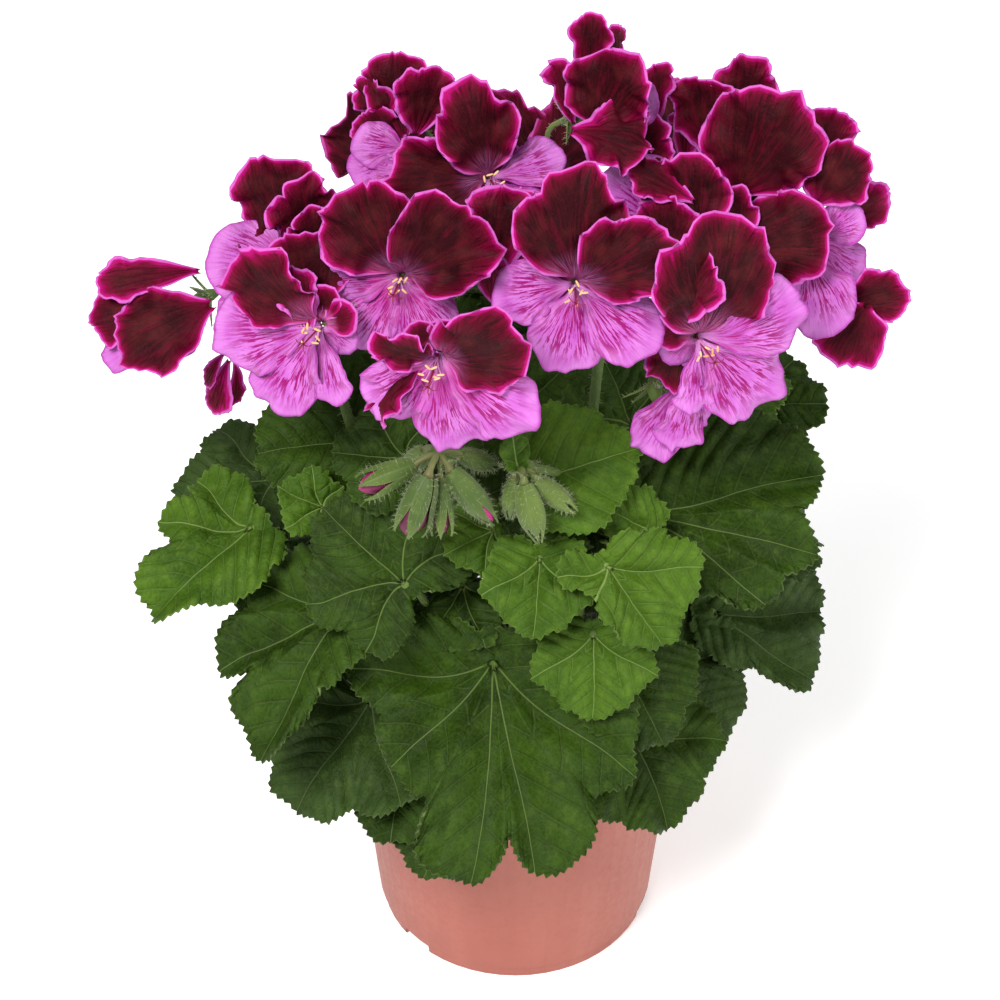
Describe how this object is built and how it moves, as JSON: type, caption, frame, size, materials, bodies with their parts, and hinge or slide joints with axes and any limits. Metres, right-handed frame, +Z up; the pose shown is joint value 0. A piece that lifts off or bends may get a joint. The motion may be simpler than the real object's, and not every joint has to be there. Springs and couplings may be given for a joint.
{
  "type": "potted geranium",
  "caption": "Regal geranium plant with lobed leaves, stalked heads of ruffled two-tone flowers and hanging buds, growing in soil in a plain round plastic nursery pot.",
  "frame": {"origin": "centre of the pot's underside, on the ground it stands on", "axes": "+Z up along the pot's axis, -Y towards the side with the large front leaf, +X to the right seen from there"},
  "size_m": [0.2622, 0.2264, 0.3795],
  "materials": {
    "pot_plastic": "matte salmon terracotta colour",
    "peat": "damp crumbly peat",
    "leaf_green": "mid green, soft and finely hairy",
    "leaf_young": "fresh yellow-green, soft",
    "leaf_old": "dull grey-green, matte",
    "stem_green": "green, hairy",
    "petal": "velvety, maroon to lilac pink",
    "bud_green": "green with white hairs"
  },
  "bodies": {
    "root": {"flower_back_left": "petal", "flower_back_mid": "petal", "flower_back_right": "petal", "flower_centre": "petal", "flower_centre_left": "petal", "flower_centre_low": "petal", "flower_far_left": "petal", "flower_far_right_low": "petal", "flower_far_right_top": "petal", "flower_hanging_right": "petal", "flower_inner_mid": "petal", "flower_inner_right": "petal", "flower_left_bud": "petal", "flower_left_low": "petal", "flower_left_top": "petal", "flower_right": "petal", "flower_stalk_a": "stem_green", "flower_stalk_b": "stem_green", "flower_stalk_c": "stem_green", "flower_stalk_d": "stem_green", "flower_stalk_e": "stem_green", "flower_top": "petal", "flower_top_back_left": "petal", "flower_top_left": "petal", "flower_top_right": "petal", "front_buds": "bud_green", "leaf_back_left": "leaf_old", "leaf_back_mid": "leaf_green", "leaf_back_right": "leaf_old", "leaf_back_skirt_left": "leaf_green", "leaf_back_skirt_right": "leaf_green", "leaf_centre_dark": "leaf_green", "leaf_centre_small": "leaf_young", "leaf_front": "leaf_green", "leaf_left_back": "leaf_old", "leaf_left_back_low": "leaf_old", "leaf_left_inner": "leaf_green", "leaf_left_lower": "leaf_green", "leaf_left_side": "leaf_old", "leaf_left_skirt": "leaf_green", "leaf_left_under": "leaf_old", "leaf_left_upper": "leaf_green", "leaf_left_upper_small": "leaf_green", "leaf_left_wing": "leaf_young", "leaf_over_rim": "leaf_green", "leaf_right_back_top": "leaf_green", "leaf_right_fan": "leaf_green", "leaf_right_fold": "leaf_young", "leaf_right_fold_low": "leaf_green", "leaf_right_lower": "leaf_old", "leaf_right_outer": "leaf_old", "leaf_right_side": "leaf_old", "leaf_right_skirt": "leaf_green", "leaf_upper_mid": "leaf_young", "leaf_young_bright": "leaf_young", "middle_buds": "bud_green", "pot": "pot_plastic", "potting_soil": "peat", "shoots": "stem_green"}
  },
  "joints": []
}
